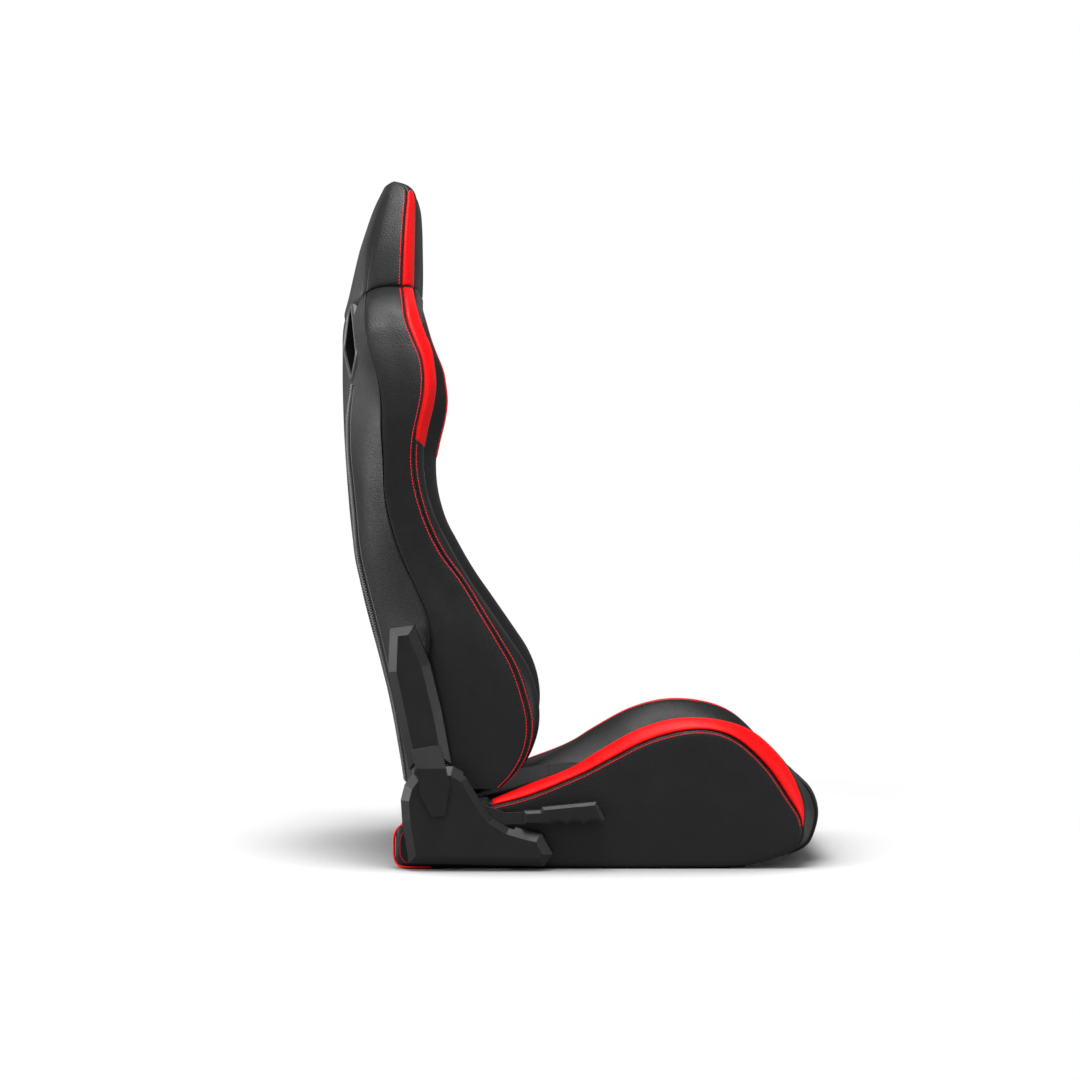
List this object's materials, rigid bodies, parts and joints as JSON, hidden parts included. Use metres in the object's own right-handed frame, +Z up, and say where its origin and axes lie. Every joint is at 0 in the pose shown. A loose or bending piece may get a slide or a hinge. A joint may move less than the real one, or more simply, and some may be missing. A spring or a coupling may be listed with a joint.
{
  "type": "racing seat",
  "caption": "Reclining racing bucket seat with padded bolsters, harness slots, bevelled recliner covers and a release lever.",
  "frame": {"origin": "centre of the four mounting holes, on the plane of the mounting channels' undersides", "axes": "+X to the seat's front, +Y to its left, +Z up"},
  "size_m": [0.6604, 0.58, 0.9455],
  "materials": {
    "upholstery": "satin",
    "frame_steel": "satin",
    "zinc_steel": "satin",
    "lever_steel": "satin",
    "cover_plastic": "matte",
    "elastic": "matte"
  },
  "bodies": {
    "seat_base": {"base_frame": "frame_steel", "lower_cover_left": "cover_plastic", "lower_cover_right": "cover_plastic", "lower_recliner_plate_left": "zinc_steel", "lower_recliner_plate_right": "zinc_steel", "mount_channel_front": "frame_steel", "mount_channel_rear": "frame_steel", "mount_weld_nuts": "zinc_steel", "plate_bolts": "zinc_steel", "rear_piping_left": "upholstery", "rear_piping_right": "upholstery", "recliner_discs_fixed": "zinc_steel", "seat_bolster_left": "upholstery", "seat_bolster_right": "upholstery", "seat_center_cushion": "upholstery", "seat_rear_cover": "upholstery", "seat_straps": "elastic"},
    "backrest": {"arm_bolts": "zinc_steel", "backrest_bolster_left": "upholstery", "backrest_bolster_right": "upholstery", "backrest_center_pad": "upholstery", "backrest_frame": "frame_steel", "backrest_straps": "elastic", "harness_bezel_left": "cover_plastic", "harness_bezel_right": "cover_plastic", "headrest_pad": "upholstery", "rear_panel": "upholstery", "recliner_discs_moving": "zinc_steel", "upper_cover_left": "cover_plastic", "upper_cover_right": "cover_plastic", "upper_recliner_arm_left": "zinc_steel", "upper_recliner_arm_right": "zinc_steel"},
    "recline_lever": {"lever_arm": "lever_steel", "lever_grip": "cover_plastic", "release_rod": "zinc_steel", "rod_clips": "zinc_steel"}
  },
  "joints": [
    {"name": "recline", "type": "hinge", "parent": "seat_base", "child": "backrest", "pos_m": [-0.234, 0, 0.102], "axis": [0, -1, 0], "range_deg": [0, 60]},
    {"name": "lever_turn", "type": "hinge", "parent": "seat_base", "child": "recline_lever", "pos_m": [-0.234, 0, 0.102], "axis": [0, -1, 0], "range_deg": [0, 20], "stiffness_Nm_per_rad": 2.5, "springref_deg": -11.46}
  ]
}
